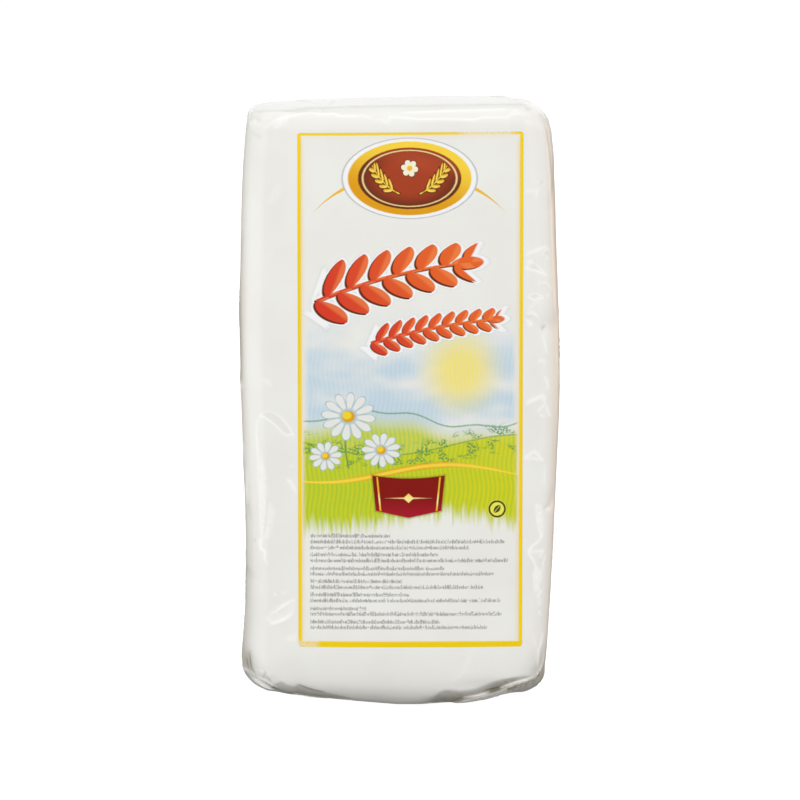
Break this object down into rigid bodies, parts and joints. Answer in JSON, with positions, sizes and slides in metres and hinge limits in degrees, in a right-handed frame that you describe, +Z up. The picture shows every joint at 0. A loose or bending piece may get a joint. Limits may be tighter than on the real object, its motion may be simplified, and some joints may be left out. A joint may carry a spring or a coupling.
{
  "type": "film-wrapped brie brick",
  "caption": "Upright brick of soft white-rind cheese sealed in glossy white printed film, with folded ends and a lap seam down the back.",
  "frame": {"origin": "centre of the bounding box at the height of the lower end the pack stands on", "axes": "+Z up along the brick's length, -Y out of the printed label face, +X to the right of a viewer who faces the label"},
  "size_m": [0.127, 0.0492, 0.2437],
  "materials": {
    "white_film": "glossy printed film"
  },
  "bodies": {
    "root": {"wrapped_brick": "white_film"}
  },
  "joints": []
}
